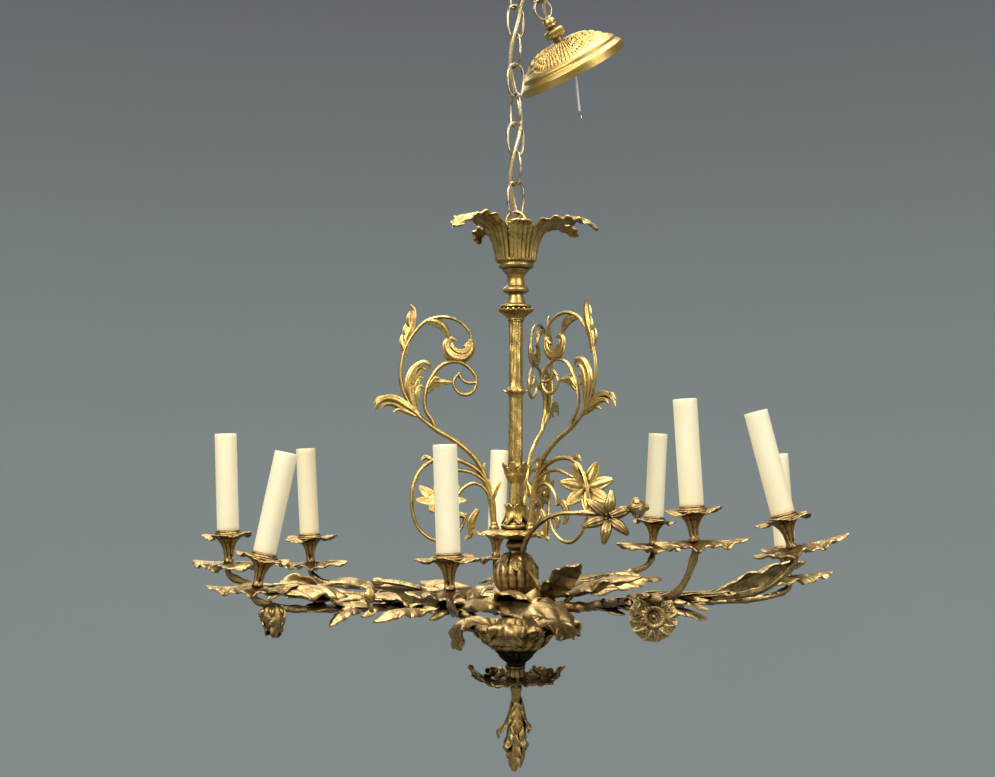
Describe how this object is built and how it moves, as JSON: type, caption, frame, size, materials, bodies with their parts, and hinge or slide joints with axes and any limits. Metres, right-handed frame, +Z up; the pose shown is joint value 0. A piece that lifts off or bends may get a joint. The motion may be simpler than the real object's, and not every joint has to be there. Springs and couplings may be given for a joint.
{
  "type": "multi arm chandelier",
  "caption": "Gilt bronze chandelier with leafy branches that carry candle lights, hanging on an oval-link chain with a loose ceiling canopy.",
  "frame": {"origin": "middle of the flat top face of the ceiling hook's plate", "axes": "+Z up, +X to the right and +Y to the back as seen from the front"},
  "size_m": [0.6971, 0.6257, 0.943],
  "materials": {
    "gilt_bronze": "aged gilt bronze, bright on the high places and brown in the hollows",
    "dark_gilt": "dull aged gilding, rubbed to brown",
    "dark_bronze": "nearly black patinated bronze",
    "chain_brass": "pale antique brass wire",
    "canopy_brass": "bright lacquered brass",
    "hook_steel": "plain zinc-plated steel",
    "ivory_sleeve": "ivory coated candle sleeve, half gloss",
    "lamp_socket": "moulded candelabra lamp socket",
    "clear_cord": "clear gold lamp cord",
    "white_wire": "white insulated lead"
  },
  "bodies": {
    "hook": {"ceiling_hook": "hook_steel", "lamp_cord": "clear_cord"},
    "link_1": {"chain_link_1": "chain_brass"},
    "link_2": {"chain_link_2": "chain_brass"},
    "link_3": {"chain_link_3": "chain_brass"},
    "link_4": {"chain_link_4": "chain_brass"},
    "link_5": {"chain_link_5": "chain_brass"},
    "link_6": {"chain_link_6": "chain_brass"},
    "link_7": {"chain_link_7": "chain_brass"},
    "link_8": {"chain_link_8": "chain_brass"},
    "link_9": {"chain_link_9": "chain_brass"},
    "frame": {"crown_ring": "gilt_bronze", "crown": "gilt_bronze", "vase": "gilt_bronze", "column": "gilt_bronze", "gallery_plate": "gilt_bronze", "gourd_ball": "dark_gilt", "calyx": "dark_gilt", "lower_cup": "dark_bronze", "leaf_saucer": "dark_gilt", "drop_finial": "gilt_bronze", "scroll_bracket_1": "gilt_bronze", "scroll_bracket_2": "gilt_bronze", "scroll_bracket_3": "gilt_bronze", "branch_1": "dark_gilt", "branch_2": "dark_gilt", "branch_3": "dark_gilt", "candle_cup_1": "gilt_bronze", "candle_cup_2": "gilt_bronze", "candle_cup_3": "gilt_bronze", "candle_cup_4": "gilt_bronze", "candle_cup_5": "gilt_bronze", "candle_cup_6": "gilt_bronze", "candle_cup_7": "gilt_bronze", "candle_cup_8": "gilt_bronze", "candle_cup_9": "gilt_bronze", "lamp_socket_1": "lamp_socket", "lamp_socket_2": "lamp_socket", "lamp_socket_3": "lamp_socket", "lamp_socket_4": "lamp_socket", "lamp_socket_5": "lamp_socket", "lamp_socket_6": "lamp_socket", "lamp_socket_7": "lamp_socket", "lamp_socket_8": "lamp_socket", "lamp_socket_9": "lamp_socket"},
    "canopy_link_1": {"canopy_link_1": "chain_brass"},
    "canopy_link_2": {"canopy_link_2": "chain_brass"},
    "canopy": {"canopy_loop": "canopy_brass", "canopy": "canopy_brass", "lead_wire": "white_wire"},
    "ring_nut": {"canopy_ring_nut": "canopy_brass"},
    "sleeve_1": {"candle_sleeve_1": "ivory_sleeve"},
    "sleeve_2": {"candle_sleeve_2": "ivory_sleeve"},
    "sleeve_3": {"candle_sleeve_3": "ivory_sleeve"},
    "sleeve_4": {"candle_sleeve_4": "ivory_sleeve"},
    "sleeve_5": {"candle_sleeve_5": "ivory_sleeve"},
    "sleeve_6": {"candle_sleeve_6": "ivory_sleeve"},
    "sleeve_7": {"candle_sleeve_7": "ivory_sleeve"},
    "sleeve_8": {"candle_sleeve_8": "ivory_sleeve"},
    "sleeve_9": {"candle_sleeve_9": "ivory_sleeve"}
  },
  "joints": [
    {"name": "link_1_swing", "type": "hinge", "parent": "hook", "child": "link_1", "pos_m": [0, 0, -0.047], "axis": [-0.515, 0.8572, 0], "range_deg": [0, 8], "deforming": ["lamp_cord"]},
    {"name": "link_2_swing", "type": "hinge", "parent": "link_1", "child": "link_2", "pos_m": [0, 0, -0.0787], "axis": [0.8572, 0.515, 0], "range_deg": [-8, 8]},
    {"name": "link_3_swing", "type": "hinge", "parent": "link_2", "child": "link_3", "pos_m": [0, 0, -0.1114], "axis": [-0.515, 0.8572, 0], "range_deg": [0, 8]},
    {"name": "link_4_swing", "type": "hinge", "parent": "link_3", "child": "link_4", "pos_m": [0, 0, -0.1441], "axis": [0.8572, 0.515, 0], "range_deg": [-8, 8]},
    {"name": "link_5_swing", "type": "hinge", "parent": "link_4", "child": "link_5", "pos_m": [0, 0, -0.1768], "axis": [-0.515, 0.8572, 0], "range_deg": [0, 8]},
    {"name": "link_6_swing", "type": "hinge", "parent": "link_5", "child": "link_6", "pos_m": [0, 0, -0.2095], "axis": [0.8572, 0.515, 0], "range_deg": [-8, 8]},
    {"name": "link_7_swing", "type": "hinge", "parent": "link_6", "child": "link_7", "pos_m": [0, 0, -0.2422], "axis": [-0.515, 0.8572, 0], "range_deg": [-8, 8]},
    {"name": "link_8_swing", "type": "hinge", "parent": "link_7", "child": "link_8", "pos_m": [0, 0, -0.2749], "axis": [0.8572, 0.515, 0], "range_deg": [-8, 8]},
    {"name": "link_9_swing", "type": "hinge", "parent": "link_8", "child": "link_9", "pos_m": [0, 0, -0.3076], "axis": [-0.515, 0.8572, 0], "range_deg": [-8, 8]},
    {"name": "frame_swing", "type": "hinge", "parent": "link_9", "child": "frame", "pos_m": [0, 0, -0.3403], "axis": [0.8572, 0.515, 0], "range_deg": [-8, 8]},
    {"name": "canopy_link_1_swing", "type": "hinge", "parent": "hook", "child": "canopy_link_1", "pos_m": [-0.00255, 0.00488, -0.04557], "axis": [-0.515, 0.8572, 0], "range_deg": [-20, 0]},
    {"name": "canopy_link_2_swing", "type": "hinge", "parent": "canopy_link_1", "child": "canopy_link_2", "pos_m": [0.01197, 0.01361, -0.07165], "axis": [0.7189, 0.4319, 0.5446], "range_deg": [-8, 8]},
    {"name": "canopy_swing", "type": "hinge", "parent": "canopy_link_2", "child": "canopy", "pos_m": [0.02723, 0.02278, -0.09908], "axis": [-0.515, 0.8572, 0], "range_deg": [-15, 0]},
    {"name": "ring_nut_turn", "type": "hinge", "parent": "canopy", "child": "ring_nut", "pos_m": [0.04425, 0.033, -0.12965], "axis": [-0.4668, -0.2805, 0.8387], "continuous": true},
    {"name": "sleeve_1_lift", "type": "slide", "parent": "frame", "child": "sleeve_1", "axis": [-0.0349, 0, 0.9994], "range_m": [0, 0.09]},
    {"name": "sleeve_2_lift", "type": "slide", "parent": "frame", "child": "sleeve_2", "axis": [0.2079, 0, 0.9781], "range_m": [0, 0.09]},
    {"name": "sleeve_3_lift", "type": "slide", "parent": "frame", "child": "sleeve_3", "axis": [-0.0523, 0, 0.9986], "range_m": [0, 0.09]},
    {"name": "sleeve_4_lift", "type": "slide", "parent": "frame", "child": "sleeve_4", "axis": [-0.0349, 0, 0.9994], "range_m": [0, 0.09]},
    {"name": "sleeve_5_lift", "type": "slide", "parent": "frame", "child": "sleeve_5", "axis": [0.0349, 0.0349, 0.9988], "range_m": [0, 0.09]},
    {"name": "sleeve_6_lift", "type": "slide", "parent": "frame", "child": "sleeve_6", "axis": [0.0523, 0, 0.9986], "range_m": [0, 0.09]},
    {"name": "sleeve_7_lift", "type": "slide", "parent": "frame", "child": "sleeve_7", "axis": [-0.0593, 0, 0.9982], "range_m": [0, 0.09]},
    {"name": "sleeve_8_lift", "type": "slide", "parent": "frame", "child": "sleeve_8", "axis": [-0.2504, 0, 0.9681], "range_m": [0, 0.09]},
    {"name": "sleeve_9_lift", "type": "slide", "parent": "frame", "child": "sleeve_9", "axis": [-0.0698, 0, 0.9976], "range_m": [0, 0.09]}
  ]
}
